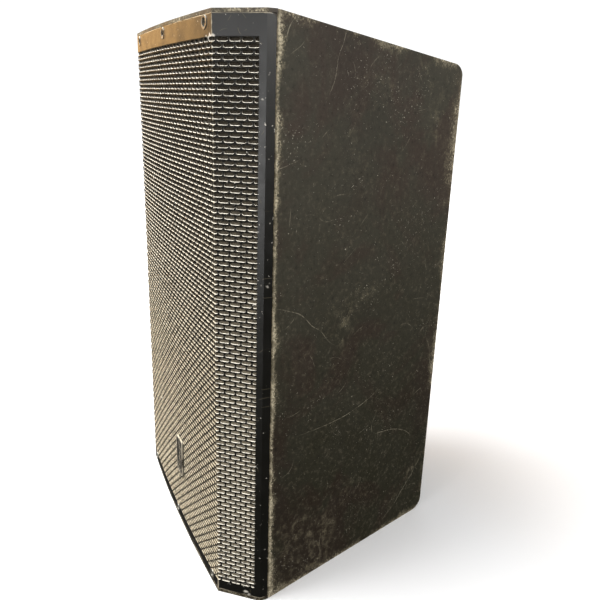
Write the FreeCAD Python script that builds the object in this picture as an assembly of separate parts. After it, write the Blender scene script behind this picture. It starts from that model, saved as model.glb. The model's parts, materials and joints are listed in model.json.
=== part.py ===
import FreeCAD, Part
import math
import os

# Two-way stage loudspeaker cabinet. Millimetres, +Z up, front towards -Y, +X to the right of a listener who
# looks at the grille. The origin is at the middle of the footprint, on the floor.

# --- Cabinet ---------------------------------------------------------------------------------------------
HEIGHT = 735.0
DEPTH = 378.0
PLY = 18.0
SIDE_TAPER = math.radians(15.5)
TOP_FALL = math.radians(7.0)
BACK_CORNER_R = 20.0
ROUND_OVER = 3.0
LIP = 4.0
BAFFLE_SET_BACK = 4.0
BRACE = 15.0
BRACE_Z = 404.0
BRACE_BORDER = 46.0
FELT = 12.0

# --- Grille: a folded sheet with a slightly bowed centre face, two facets and two short returns ------------
FACE_HALF = 184.5
FACE_BOW = 6.0
FACET_LENGTH = 60.7
FACET_ANGLE = math.radians(48.6)
RETURN_LENGTH = 10.7
RETURN_CORNER_R = 7.0
SHEET = 1.5
GRILLE_FIT = 0.4
SIDE_GAP = 1.0
FOAM = 5.0
FIXING_X = (-163.0, 0.0, 163.0)
FIXING_INSET = 12.0
FIXING_HOLE_R = 5.5
WASHER_R = 7.4
BADGE_SIZE = (30.0, 60.0, 2.0)
BADGE_AT = (25.0, 122.0)

# --- Woofer; its depths are counted backwards from the baffle's front face --------------------------------
WOOFER_Z = 215.0
WOOFER_R = 192.5
WOOFER_CUTOUT_R = 176.0
WOOFER_SCREWS = 8
WOOFER_SCREW_R = 3.0
WOOFER_SCREW_CIRCLE_R = 185.0
COIL_R = 38.0
CONE_EDGE_R = 148.0
SPOKES = 6

# --- High-frequency horn and its driver --------------------------------------------------------------------
HORN_Z = 521.0
HORN_FLANGE = (280.0, 200.0)
HORN_MOUTH = (252.0, 172.0)
HORN_DEPTH = 130.0
HORN_WALL = 4.0
HORN_PLATE = 5.0
THROAT_R = 12.7
HORN_SCREW_R = 2.4
HF_COIL_R = 25.4

# --- Ports -------------------------------------------------------------------------------------------------
PORT_X = 90.0
PORT_Z = 665.0
PORT_R = 31.0
PORT_WALL = 3.0
PORT_FLANGE_R = 40.0
PORT_LENGTH = 100.0

# --- Input dish, crossover, handles, pole socket, suspension -----------------------------------------------
INPUT_Z = 140.0
DISH_FLANGE = (160.0, 116.0)
DISH_CUP = (136.0, 92.0)
DISH_DEPTH = 34.0
DISH_FLOOR = 3.0
SOCKET_X = 32.0
SOCKET_DROP = 16.0
SOCKET_BORE_R = 11.2
SOCKET_POST_R = 5.6
SELECTOR_RISE = 24.0
CROSSOVER_Z = 275.0
HANDLE_FLANGE = (214.0, 104.0)
HANDLE_CUP = (190.0, 80.0)
HANDLE_DEPTH = 60.0
HANDLE_WALL = 3.0
GRIP_R = 11.0
GRIP_DEPTH = 15.0
TOP_HANDLE_Y = 60.0
BACK_HANDLE_Z = 500.0
TRIM = 3.0
POLE_Y = 20.0
POLE_BORE_R = 18.0
POLE_DEPTH = 85.0
M10_R = 5.0
SUSPENSION_Y = (-65.0, 135.0)
SUSPENSION_BACK_Z = 620.0
SUSPENSION_PLATE = (60.0, 60.0, 5.0)
SUSPENSION_REACH = 31.0

# --- Countersunk screws that hold the dishes and the pole socket; they are all alike ------------------------
PANEL_SCREW_R = 2.0
PANEL_SCREW_HEAD_R = 4.0
PANEL_SCREW_LENGTH = 14.0

# --- Values that follow from the ones above ----------------------------------------------------------------
FRONT = -DEPTH / 2 + BADGE_SIZE[2]
BACK = DEPTH / 2
FOLD_Y = FRONT + FACE_BOW
FACE_RADIUS = (FACE_HALF**2 + FACE_BOW**2) / (2 * FACE_BOW)
HALF_WIDTH = FACE_HALF + FACET_LENGTH * math.cos(FACET_ANGLE)
CORNER_Y = FOLD_Y + FACET_LENGTH * math.sin(FACET_ANGLE)
RETURN_Y = CORNER_Y + RETURN_LENGTH
SIDE_Y = RETURN_Y + SIDE_GAP
SIDE_SHIFT = PLY / math.cos(SIDE_TAPER)
BAFFLE_Y = SIDE_Y + BAFFLE_SET_BACK
BAFFLE_BACK = BAFFLE_Y + PLY
INNER_BACK = BACK - PLY
GRILLE_BOTTOM = LIP + GRILLE_FIT
GRILLE_TOP = HEIGHT - LIP - GRILLE_FIT
FIXING_Z = (FIXING_INSET, HEIGHT - FIXING_INSET)
TINY = 1e-6

X_AXIS = FreeCAD.Vector(1, 0, 0)
Y_AXIS = FreeCAD.Vector(0, 1, 0)
Z_AXIS = FreeCAD.Vector(0, 0, 1)

parts = {}


def vec(x, y, z=0.0):
    return FreeCAD.Vector(x, y, z)


# ============================== Shared shapes ==============================


def flat_face(start, *steps):
    """A face in the XY plane. A step is a point, or a pair: an arc through the first point to the second."""
    edges = []
    here = vec(*start)
    for step in list(steps) + [start]:
        if isinstance(step[0], tuple):
            through, end = vec(*step[0]), vec(*step[1])
            edges.append(Part.Arc(here, through, end).toShape())
        else:
            end = vec(*step)
            if end.distanceToPoint(here) < TINY:
                continue
            edges.append(Part.makeLine(here, end))
        here = end
    return Part.Face(Part.Wire(edges))


def arc_points(x, y, radius, start, end):
    """Start, middle and end of an arc about (x, y), between two angles."""
    return [(x + radius * math.cos(a), y + radius * math.sin(a)) for a in (start, (start + end) / 2, end)]


def prism(face, z_low, z_high):
    solid = face.extrude(vec(0, 0, z_high - z_low))
    solid.translate(vec(0, 0, z_low))
    return solid


def box(x_low, x_high, y_low, y_high, z_low, z_high):
    return Part.makeBox(x_high - x_low, y_high - y_low, z_high - z_low, vec(x_low, y_low, z_low))


def rounded_box(width, length, z_low, z_high, radius):
    """A block centred on the Z axis, with its four upright edges rounded."""
    block = box(-width / 2, width / 2, -length / 2, length / 2, z_low, z_high)
    upright = [e for e in block.Edges if abs(e.tangentAt(e.FirstParameter).z) > 0.99]
    return block.makeFillet(radius, upright)


def rod(radius, z_low, z_high, x=0.0, y=0.0):
    return Part.makeCylinder(radius, z_high - z_low, vec(x, y, z_low))


def ring(r_in, r_out, z_low, z_high):
    return rod(r_out, z_low, z_high).cut(rod(r_in, z_low - 1, z_high + 1))


def turned(start, *steps, angle=360.0):
    """A solid turned about the Z axis, from an outline of (radius, height) points."""
    face = flat_face(start, *steps)
    face.rotate(vec(0, 0), X_AXIS, 90)
    return face.revolve(vec(0, 0), Z_AXIS, angle)


def crown(radius, edge, top):
    """Point halfway along the arc from the axis at top to radius at edge, with its centre on the axis."""
    rise = edge - top
    sphere = (radius**2 + rise**2) / (2 * abs(rise))
    half = math.asin(radius / sphere) / 2
    return (sphere * math.sin(half), top + math.copysign(sphere * (1 - math.cos(half)), rise))


def placed(shape, at, out):
    """A copy whose own +Z points along out and whose origin is moved to at."""
    copy = shape.copy()
    copy.Placement = FreeCAD.Placement(at, FreeCAD.Rotation(Z_AXIS, out)).multiply(copy.Placement)
    return copy


def on_baffle(shape, z, x=0.0):
    """Seats a shape made with +Z as its depth, counted backwards from the baffle's front face."""
    copy = shape.copy()
    copy.rotate(vec(0, 0), X_AXIS, -90)
    copy.translate(vec(x, BAFFLE_Y, z))
    return copy


def on_back(shape, z):
    """Seats a shape made with +Z outwards and +Y up on the back panel's outer face."""
    copy = shape.copy()
    copy.rotate(vec(0, 0), X_AXIS, 90)
    copy.rotate(vec(0, 0), Z_AXIS, 180)
    copy.translate(vec(0, BACK, z))
    return copy


def top_z(y, under=0.0):
    """Height at y of the top, or of a plane under it: level over the grille, falling behind it."""
    return HEIGHT - under / math.cos(TOP_FALL) - max(y - SIDE_Y, 0.0) * math.tan(TOP_FALL)


def on_top(shape, y):
    """Seats a shape made with +Z outwards on the sloping top."""
    copy = shape.copy()
    copy.rotate(vec(0, 0), X_AXIS, -math.degrees(TOP_FALL))
    copy.translate(vec(0, y, top_z(y)))
    return copy


def on_bottom(shape, y):
    """Seats a shape made with +Z outwards on the underside."""
    copy = shape.copy()
    copy.rotate(vec(0, 0), X_AXIS, 180)
    copy.translate(vec(0, y, 0))
    return copy


def screw(shank_r, length, head_r, head_h):
    """Domed head above z=0 with a hexagon socket, shank below."""
    edge = head_h * 0.55
    head = turned((0, 0), (head_r, 0), (head_r, edge), (crown(head_r, edge, head_h), (0, head_h)))
    key = Part.Face(Part.makePolygon([
        vec(head_r * 0.42 * math.cos(a), head_r * 0.42 * math.sin(a), head_h * 0.35)
        for a in (math.radians(60 * i) for i in range(7))
    ]))
    head = head.cut(key.extrude(vec(0, 0, head_h)))
    return head.fuse(rod(shank_r, -length, 0)).removeSplitter()


def panel_screw():
    """Countersunk screw whose head is flush with z=0, with a cross recess."""
    reach = PANEL_SCREW_HEAD_R - PANEL_SCREW_R
    cone = Part.makeCone(PANEL_SCREW_R, PANEL_SCREW_HEAD_R, reach, vec(0, 0, -reach))
    arm = PANEL_SCREW_HEAD_R * 0.55
    cross = box(-arm, arm, -0.5, 0.5, -1.0, 1.0).fuse(box(-0.5, 0.5, -arm, arm, -1.0, 1.0))
    return cone.cut(cross).fuse(rod(PANEL_SCREW_R, -PANEL_SCREW_LENGTH, -reach)).removeSplitter()


def panel_screws(places):
    return group(panel_screw().translate(vec(x, y)) for x, y in places)


def countersunk(shape, places, fit=0.1):
    """The shape with a countersunk hole for a panel screw at each place."""
    reach = PANEL_SCREW_HEAD_R - PANEL_SCREW_R
    for x, y in places:
        sink = Part.makeCone(PANEL_SCREW_R + fit, PANEL_SCREW_HEAD_R + fit, reach, vec(x, y, -reach))
        hole = rod(PANEL_SCREW_R + fit, -PANEL_SCREW_LENGTH, -reach, x, y)
        mouth = rod(PANEL_SCREW_HEAD_R + fit, 0.0, 2.0, x, y)
        shape = shape.cut([sink, hole, mouth])
    return shape


def with_pilot_holes(opening, places):
    return opening.fuse([rod(PANEL_SCREW_R + 0.1, -PANEL_SCREW_LENGTH - 1, 0, x, y) for x, y in places])


def corners(width, length):
    return [(sx * width, sy * length) for sx in (-1, 1) for sy in (-1, 1)]


def group(shapes):
    return Part.makeCompound(list(shapes))


def side_x(y, shift=0.0):
    """Half width of the tapered cabinet at y, less a shift inwards."""
    return HALF_WIDTH - (y - SIDE_Y) * math.tan(SIDE_TAPER) - shift


def mirrored(shape):
    return shape.mirror(vec(0, 0), X_AXIS)


# ============================== Front outline ==============================


def front_points(inset):
    """Fold and corner of the front outline, moved inwards by inset at right angles to each face."""
    along = (math.cos(FACET_ANGLE), math.sin(FACET_ANGLE))
    base = (FACE_HALF - inset * along[1], FOLD_Y + inset * along[0])
    from_centre = (base[0], base[1] - (FRONT + FACE_RADIUS))
    half_b = from_centre[0] * along[0] + from_centre[1] * along[1]
    c = from_centre[0] ** 2 + from_centre[1] ** 2 - (FACE_RADIUS - inset) ** 2
    root = math.sqrt(half_b**2 - c)
    t_fold = min((-half_b + root, -half_b - root), key=abs)
    t_corner = (HALF_WIDTH - inset - base[0]) / along[0]
    fold = (base[0] + t_fold * along[0], base[1] + t_fold * along[1])
    corner = (base[0] + t_corner * along[0], base[1] + t_corner * along[1])
    return fold, corner


def front_region(inset, y_back):
    """Face bounded by the inset front outline and a straight line at y_back."""
    (fx, fy), (cx, cy) = front_points(inset)
    return flat_face(
        (-cx, y_back), (-cx, cy), (-fx, fy), ((0, FRONT + inset), (fx, fy)), (cx, cy), (cx, y_back)
    )


def face_y(x):
    """Front of the bowed centre face at x."""
    return FRONT + FACE_RADIUS - math.sqrt(FACE_RADIUS**2 - x**2)


def face_normal(x):
    """Outward direction of the bowed centre face at x."""
    return vec(x, face_y(x) - FRONT - FACE_RADIUS).normalize()


# ============================== Cabinet ==============================


def across(outline):
    """A block wider than the cabinet, from an outline in the YZ plane."""
    block = flat_face(*outline).extrude(vec(0, 0, 2 * HALF_WIDTH + 20))
    block.rotate(vec(0, 0), Z_AXIS, 90)
    block.rotate(vec(0, 0), Y_AXIS, 90)
    block.translate(vec(-HALF_WIDTH - 10, 0, 0))
    return block


def outer_profile():
    """What lies inside the cabinet's side profile: a flat bottom, a falling top and rounded back corners."""
    ahead = FRONT - 10
    block = across([(ahead, 0), (BACK, 0), (BACK, top_z(BACK)), (SIDE_Y, HEIGHT), (ahead, HEIGHT)])
    crosswise = [e for e in block.Edges if abs(e.tangentAt(e.FirstParameter).x) > 0.99]
    return block.makeFillet(BACK_CORNER_R, [e for e in crosswise if e.BoundBox.YMin > BACK - 1])


def under_top():
    """What lies below the top panel's inner face."""
    ahead, behind = FRONT - 10, BACK + 10
    return across([
        (ahead, -1), (behind, -1), (behind, top_z(behind, PLY)), (SIDE_Y, top_z(SIDE_Y, PLY)),
        (ahead, top_z(SIDE_Y, PLY))])


def side_panel():
    """Right-hand side, with a tongue at the front behind the grille's return."""
    r = ROUND_OVER
    inset = r / math.cos(SIDE_TAPER)
    square = math.pi / 2
    front = arc_points(side_x(SIDE_Y + r, inset), SIDE_Y + r, r, -square, SIDE_TAPER)
    back = arc_points(side_x(BACK - r, inset), BACK - r, r, SIDE_TAPER, square)
    plan = flat_face(
        (side_x(SIDE_Y, SIDE_SHIFT), SIDE_Y),
        front[0], (front[1], front[2]),
        back[0], (back[1], back[2]),
        (side_x(BACK, SIDE_SHIFT), BACK),
    )
    panel = prism(plan, 0, HEIGHT)
    tongue_out = HALF_WIDTH - SHEET - 1.0
    tongue = box(
        side_x(SIDE_Y, SIDE_SHIFT), tongue_out, SIDE_Y - RETURN_LENGTH + 1.0, SIDE_Y, PLY, HEIGHT - PLY
    )
    return panel.fuse(tongue).removeSplitter().common(outer_profile())


def inner_trapezoid(y_low, y_high, shift=SIDE_SHIFT):
    low, high = side_x(y_low, shift), side_x(y_high, shift)
    return flat_face((-low, y_low), (low, y_low), (high, y_high), (-high, y_high))


def end_panel(slab, z_outer, inwards):
    """Top or bottom panel: the slab between the sides, a nose inside the grille, and a lip over its edge."""
    z_lip = z_outer + inwards * LIP
    z_inner = z_outer + inwards * PLY
    lip = prism(front_region(0.0, SIDE_Y), min(z_outer, z_lip), max(z_outer, z_lip))
    nose = prism(front_region(SHEET + GRILLE_FIT, SIDE_Y), min(z_lip, z_inner), max(z_lip, z_inner))
    main = prism(inner_trapezoid(SIDE_Y, BACK), -1, HEIGHT + 1).common(slab)
    panel = lip.fuse([nose, main]).removeSplitter().common(outer_profile())
    z_fixing = z_outer + inwards * FIXING_INSET
    for x in FIXING_X:
        panel = panel.cut(placed(fixing_hole(), vec(x, face_y(x), z_fixing), face_normal(x)))
    return panel


def fixing_hole():
    """Counterbore for a cup washer, and the screw's hole behind it."""
    return rod(FIXING_HOLE_R + 0.2, -6.0, 1.0).fuse(rod(2.6, -30.0, -5.0))


def cabinet():
    side = side_panel()
    parts["side_panel_right"] = side
    parts["side_panel_left"] = mirrored(side)

    top_slab = across([
        (SIDE_Y, HEIGHT), (BACK, top_z(BACK)), (BACK, top_z(BACK, PLY)), (SIDE_Y, top_z(SIDE_Y, PLY))])
    top = end_panel(top_slab, HEIGHT, -1).cut(on_top(handle_opening(), TOP_HANDLE_Y))
    for y in SUSPENSION_Y:
        top = top.cut(on_top(rod(M10_R, -PLY - 1, 1), y))
    parts["top_panel"] = top

    bottom_slab = across([(SIDE_Y, 0), (BACK, 0), (BACK, PLY), (SIDE_Y, PLY)])
    parts["bottom_panel"] = end_panel(bottom_slab, 0.0, 1).cut(on_bottom(pole_opening(), POLE_Y))

    back = prism(inner_trapezoid(INNER_BACK, BACK), PLY, HEIGHT)
    back = back.common(under_top()).common(outer_profile())
    back = back.cut(on_back(dish_opening(), INPUT_Z))
    back = back.cut(on_back(handle_opening(), BACK_HANDLE_Z))
    back = back.cut(on_back(rod(M10_R, -PLY - 1, 1), SUSPENSION_BACK_Z))
    parts["back_panel"] = back

    parts["baffle"] = baffle()
    parts["window_brace"] = window_brace()
    lining()


def baffle():
    plate = prism(inner_trapezoid(BAFFLE_Y, BAFFLE_BACK), PLY, HEIGHT).common(under_top())
    plate = plate.cut(on_baffle(rod(WOOFER_CUTOUT_R, -1, PLY + 1), WOOFER_Z))
    mouth = rounded_box(HORN_MOUTH[0] + 12, HORN_MOUTH[1] + 12, -1, PLY + 1, 12)
    plate = plate.cut(on_baffle(mouth, HORN_Z))
    for x in (-PORT_X, PORT_X):
        plate = plate.cut(on_baffle(rod(PORT_R + PORT_WALL + 0.2, -1, PLY + 1), PORT_Z, x))
    for x, z in woofer_screw_places():
        plate = plate.cut(on_baffle(rod(WOOFER_SCREW_R + 0.1, -1, 15), z, x))
    for x, z in horn_screw_places():
        plate = plate.cut(on_baffle(rod(HORN_SCREW_R + 0.1, -1, 15), z, x))
    return plate


def window_brace():
    """Shelf between the woofer and the horn, open in the middle."""
    border = BRACE_BORDER
    shelf = prism(inner_trapezoid(BAFFLE_BACK, INNER_BACK), BRACE_Z, BRACE_Z + BRACE)
    middle = inner_trapezoid(BAFFLE_BACK + border, INNER_BACK - border, SIDE_SHIFT + border)
    return shelf.cut(prism(middle, BRACE_Z - 1, BRACE_Z + BRACE + 1))


def lining():
    """Sheets of sound-absorbing felt on the side walls, below and above the brace."""
    y_low, y_high = BAFFLE_BACK + FELT, INNER_BACK - FELT
    outer, inner = SIDE_SHIFT, SIDE_SHIFT + FELT
    strip = flat_face(
        (side_x(y_low, outer), y_low), (side_x(y_low, inner), y_low),
        (side_x(y_high, inner), y_high), (side_x(y_high, outer), y_high),
    )
    below = prism(strip, PLY + FELT, BRACE_Z - FELT)
    above = prism(strip, BRACE_Z + BRACE + FELT, top_z(y_high, PLY) - FELT)
    sheets = group([below, above])
    parts["lining_right"] = sheets
    parts["lining_left"] = mirrored(sheets)


# ============================== Grille ==============================


def grille():
    outer = prism(front_region(0.0, RETURN_Y), GRILLE_BOTTOM, GRILLE_TOP)
    inner = prism(front_region(SHEET, RETURN_Y + 1), GRILLE_BOTTOM - 1, GRILLE_TOP + 1)
    sheet = outer.cut(inner)
    for z, inwards in ((GRILLE_BOTTOM, 1), (GRILLE_TOP, -1)):
        sheet = sheet.cut(return_corner(z, inwards))
    for x in FIXING_X:
        for z in FIXING_Z:
            sheet = sheet.cut(placed(rod(FIXING_HOLE_R, -5, 5), vec(x, face_y(x), z), face_normal(x)))
    parts["grille"] = sheet

    foam = prism(front_region(SHEET + 0.5, CORNER_Y + 1.5), PLY + 0.5, HEIGHT - PLY - 0.5)
    hollow = prism(front_region(SHEET + 0.5 + FOAM, CORNER_Y + 10), PLY - 1, HEIGHT - PLY + 1)
    parts["grille_foam"] = foam.cut(hollow)


def return_corner(z, inwards):
    """What is cut from both returns to round their free corners."""
    r = RETURN_CORNER_R
    bend = r * math.cos(math.radians(45))
    y_c, z_c = RETURN_Y - r, z + inwards * r
    return across([
        (y_c, z - inwards * 0.5),
        (y_c, z),
        ((y_c + bend, z_c - inwards * bend), (RETURN_Y, z_c)),
        (RETURN_Y + 0.5, z_c),
        (RETURN_Y + 0.5, z - inwards * 0.5),
    ])


def grille_fixings():
    """Cup washers in the grille's holes, and the screws inside them."""
    neck, foot = FIXING_HOLE_R - 0.3, -5.6
    cup = turned(
        (2.8, foot), (4.6, foot), (neck, -1.0), (neck, 0.0), (WASHER_R, 0.05), (WASHER_R - 0.2, 0.7),
        (neck - 0.4, 0.5), (4.2, foot + 1.0), (2.8, foot + 1.0))
    bolt = screw(2.5, 22.0, 3.9, 2.4)
    bolt.translate(vec(0, 0, foot + 1.05))
    spots = [(x, z) for z in FIXING_Z for x in FIXING_X]
    parts["grille_washers"] = group(placed(cup, vec(x, face_y(x), z), face_normal(x)) for x, z in spots)
    parts["grille_screws"] = group(placed(bolt, vec(x, face_y(x), z), face_normal(x)) for x, z in spots)


def badge():
    """Blank plate that clips on the perforated face, with a raised rim."""
    width, height, thick = BADGE_SIZE
    x, z = BADGE_AT
    plate = rounded_box(width, height, 0.0, thick, 6.0)
    dish = rounded_box(width - 5, height - 5, thick - 0.7, thick + 1, 4.0)
    plate = plate.cut(dish)
    plate.rotate(vec(0, 0), X_AXIS, 90)
    plate.translate(vec(x, face_y(x - width / 2) + 0.02, z))
    outward = math.degrees(math.asin(x / FACE_RADIUS))
    plate.rotate(vec(x, face_y(x), z), Z_AXIS, outward)
    return plate


# ============================== Woofer ==============================


def woofer_screw_places():
    reach = WOOFER_SCREW_CIRCLE_R
    angles = (math.radians(360 / WOOFER_SCREWS * (i + 0.5)) for i in range(WOOFER_SCREWS))
    return [(reach * math.cos(a), WOOFER_Z + reach * math.sin(a)) for a in angles]


def woofer_holes(shape, radius):
    for x, z in woofer_screw_places():
        shape = shape.cut(rod(radius, -20, 5, x, -(z - WOOFER_Z)))
    return shape


def basket():
    """Cast frame: flange, six spokes, spider ledge and motor seat."""
    shell = turned(
        (171.0, -6.0), (WOOFER_R, -6.0), (WOOFER_R, 0.0), (175.5, 0.0), (173.0, 8.0),
        (88.0, 97.0), (88.0, 114.0), (50.0, 114.0), (50.0, 109.0), (82.0, 109.0),
        (82.0, 98.0), (70.0, 98.0), (70.0, 94.0), (83.0, 94.0), (167.0, 6.0), (171.0, 0.0),
    )
    window = turned((94.0, 60.0), (200.0, 6.0), (200.0, 84.0), (94.0, 108.0), angle=42.0)
    for i in range(SPOKES):
        opening = window.copy()
        opening.rotate(vec(0, 0), Z_AXIS, 60.0 * i + 9.0)
        shell = shell.cut(opening.common(turned((94.0, 10.0), (176.0, 10.0), (176.0, 86.0), (94.0, 86.0))))
    return woofer_holes(shell, WOOFER_SCREW_R + 0.3)


def woofer():
    def seat(name, shape):
        parts[name] = on_baffle(shape, WOOFER_Z)

    seat("woofer_basket", basket())
    seat("woofer_gasket", woofer_holes(ring(178.0, WOOFER_R, -9.0, -6.0), WOOFER_SCREW_R + 0.3))

    surround = turned(
        (149.0, -7.0), (152.0, -7.0), ((160.0, -15.0), (168.0, -7.0)), (176.5, -7.0), (176.5, -6.0),
        (166.8, -6.0), ((160.0, -13.2), (153.2, -6.0)), (149.0, -6.0),
    )
    seat("woofer_surround", surround)

    cone = turned(
        (COIL_R + 1.2, 70.0), (COIL_R + 3.0, 66.0), (CONE_EDGE_R - 4.0, -5.2), (CONE_EDGE_R + 0.6, -5.2),
        (CONE_EDGE_R + 0.6, -3.8), (CONE_EDGE_R - 3.2, -3.8), (COIL_R + 4.4, 68.0), (COIL_R + 1.2, 73.0),
    )
    seat("woofer_cone", cone)

    dome = turned(
        (0.0, 48.0), (crown(46.0, 61.1, 48.0), (46.0, 61.1)),
        (45.0, 62.3), (crown(45.0, 62.3, 49.2), (0.0, 49.2)),
    )
    seat("woofer_dust_cap", dome)

    seat("woofer_voice_coil", ring(COIL_R - 0.6, COIL_R, 66.0, 110.0).fuse(
        ring(COIL_R - 0.6, COIL_R + 1.1, 110.0, 129.0)))
    seat("woofer_spider", spider())

    seat("woofer_top_plate", ring(COIL_R + 2.2, 78.0, 114.0, 124.0))
    seat("woofer_magnet", ring(55.0, 95.0, 124.0, 148.0))
    pole = rod(COIL_R - 1.5, 113.0, 148.0).fuse(rod(78.0, 148.0, 160.0)).cut(rod(12.0, 112.0, 161.0))
    seat("woofer_yoke", pole.removeSplitter())

    tags = [box(x - 3.0, x + 3.0, 5.0, 11.0, 2.0, 8.0) for x in (-6.0, 6.0)]
    block = box(-14.0, 14.0, 0.0, 5.0, 0.0, 10.0).fuse(tags)
    block.translate(vec(0, 88.0, 100.0))
    seat("woofer_terminals", block.cut(rod(88.0, 90.0, 120.0)))

    bolt = screw(WOOFER_SCREW_R, 20.0, 5.5, 4.0)
    spots = woofer_screw_places()
    parts["woofer_screws"] = group(placed(bolt, vec(x, BAFFLE_Y - 9.0, z), vec(0, -1, 0)) for x, z in spots)


def spider():
    """Corrugated disc that centres the coil."""
    waves, r_first, pitch, lift, thick = 4, 44.0, 8.0, 2.0, 0.8
    base = 91.6
    front = [(COIL_R + 0.6, base)]
    edge = [(r_first, base)]
    for i in range(waves):
        r = r_first + pitch * i
        side = -lift if i % 2 else lift
        edge.append(((r + pitch / 2, base + side), (r + pitch, base)))
    outer = r_first + pitch * waves
    edge.append((81.0, base + 1.6))
    back = [(81.0, base + 1.6 + thick), (outer, base + thick)]
    for i in reversed(range(waves)):
        r = r_first + pitch * i
        side = -lift if i % 2 else lift
        back.append(((r + pitch / 2, base + thick + side), (r, base + thick)))
    back.append((COIL_R + 0.6, base + thick))
    return turned(front[0], *edge, *back)


# ============================== Horn and driver ==============================


def horn_screw_places():
    half_w, half_h = HORN_FLANGE[0] / 2 - 6.5, HORN_FLANGE[1] / 2 - 6.5
    spots = [(sx * half_w, sz * half_h) for sx in (-1, 0, 1) for sz in (-1, 1)]
    spots += [(sx * half_w, 0.0) for sx in (-1, 1)]
    return [(x, HORN_Z + z) for x, z in spots]


def horn_section(depth, wall):
    """Closed curve across the horn: a circle at the throat that squares up towards the mouth."""
    t = (HORN_DEPTH - depth) / (HORN_DEPTH + HORN_PLATE)
    flare = t**1.5
    half_w = THROAT_R + (HORN_MOUTH[0] / 2 - THROAT_R) * flare + wall
    half_h = THROAT_R + (HORN_MOUTH[1] / 2 - THROAT_R) * flare**1.15 + wall
    power = 2.0 + 7.0 * t
    points = []
    count = 40
    for i in range(count):
        a = 2 * math.pi * i / count
        c, s = math.cos(a), math.sin(a)
        r = (abs(c) ** power + abs(s) ** power) ** (-1 / power)
        points.append(vec(half_w * c * r, half_h * s * r, depth))
    curve = Part.BSplineCurve()
    curve.interpolate(points, PeriodicFlag=True)
    return Part.Wire([curve.toShape()])


def horn():
    depths = [15.0, 35.0, 60.0, 90.0, 115.0, HORN_DEPTH]
    outer = Part.makeLoft([horn_section(d, HORN_WALL) for d in [-HORN_PLATE / 2] + depths], True)
    inner = Part.makeLoft([horn_section(d, 0.0) for d in [-HORN_PLATE - 1.0] + depths], True)
    flange = rounded_box(*HORN_FLANGE, -HORN_PLATE, 0.0, 10.0)
    throat_flange = rod(42.0, HORN_DEPTH - 8.0, HORN_DEPTH)
    body = outer.fuse([flange, throat_flange]).cut(inner)
    for x, z in horn_screw_places():
        body = body.cut(rod(HORN_SCREW_R + 0.3, -6, 1, x, -(z - HORN_Z)))
    for x, y in driver_bolt_places():
        body = body.cut(rod(3.1, 110.0, HORN_DEPTH + 1, x, y))
    parts["horn"] = on_baffle(body, HORN_Z)
    bolt = screw(HORN_SCREW_R, 16.0, 4.4, 3.0)
    parts["horn_screws"] = group(
        placed(bolt, vec(x, BAFFLE_Y - HORN_PLATE, z), vec(0, -1, 0)) for x, z in horn_screw_places())


def driver_bolt_places():
    reach = 30.0
    return [(sx * reach, 0.0) for sx in (-1, 1)] + [(0.0, sy * reach) for sy in (-1, 1)]


def compression_driver():
    def seat(name, shape):
        parts[name] = on_baffle(shape, HORN_Z)

    start = HORN_DEPTH
    front_plate = ring(THROAT_R, 60.0, start, start + 8.0)
    for x, y in driver_bolt_places():
        front_plate = front_plate.cut(rod(2.6, start - 1, start + 9, x, y))
    seat("driver_front_plate", front_plate)
    seat("driver_magnet", ring(36.0, 64.0, start + 8.0, start + 26.0))
    seat("driver_gap_plate", ring(HF_COIL_R + 0.8, 58.0, start + 26.0, start + 33.0))
    seat("driver_pole", turned(
        (THROAT_R, start + 8.0), (30.0, start + 8.0), (HF_COIL_R - 1.0, start + 20.0),
        (HF_COIL_R - 1.0, start + 33.0), (THROAT_R + 6.0, start + 33.0)))
    plug = turned(
        (0.0, start + 12.0), (6.0, start + 26.0), (9.0, start + 33.0),
        (crown(9.0, start + 33.0, start + 36.0), (0.0, start + 36.0)))
    for i in range(3):
        fin = box(3.0, THROAT_R + 2.2, -0.8, 0.8, start + 24.0, start + 31.0)
        fin.rotate(vec(0, 0), Z_AXIS, 120.0 * i)
        plug = plug.fuse(fin)
    bore = turned(
        (0.0, start + 7.0), (THROAT_R, start + 8.0), (THROAT_R + 6.0, start + 33.0), (0.0, start + 37.0))
    seat("driver_phase_plug", plug.common(bore))
    rim, top = start + 35.4, start + 46.0
    seat("driver_diaphragm", turned(
        (0.0, top), (crown(HF_COIL_R, rim, top), (HF_COIL_R, rim)), (HF_COIL_R + 2.0, rim),
        (HF_COIL_R + 2.0, rim + 0.6), (HF_COIL_R + 0.3, rim + 0.6),
        (crown(HF_COIL_R + 0.3, rim + 0.6, top + 0.7), (0.0, top + 0.7))))
    seat("driver_voice_coil", ring(HF_COIL_R - 0.35, HF_COIL_R + 0.2, start + 27.0, start + 35.4))
    web = (HF_COIL_R + 2.4, HF_COIL_R + 7.0)
    seat("driver_diaphragm_ring", turned(
        (web[1], start + 33.0), (52.0, start + 33.0), (52.0, start + 36.4), (web[1] + 1.0, start + 36.4),
        (((web[0] + web[1]) / 2, start + 38.8), (web[0], start + 36.4)), (web[0], start + 35.8),
        (((web[0] + web[1]) / 2, start + 38.2), (web[1], start + 35.8))))
    seat("driver_cover", turned(
        (0.0, start + 57.0), (44.0, start + 57.0), ((54.0, start + 53.0), (58.0, start + 44.0)),
        (58.0, start + 33.0), (52.3, start + 33.0), (52.3, start + 43.0),
        ((50.0, start + 50.0), (42.0, start + 53.0)), (0.0, start + 53.0)))
    bolt = screw(2.5, 15.5, 4.6, 3.2)
    spots = driver_bolt_places()
    parts["driver_bolts"] = on_baffle(
        group(placed(bolt, vec(x, y, HORN_DEPTH - 8.0), vec(0, 0, -1)) for x, y in spots), HORN_Z)


# ============================== Ports ==============================


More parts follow.
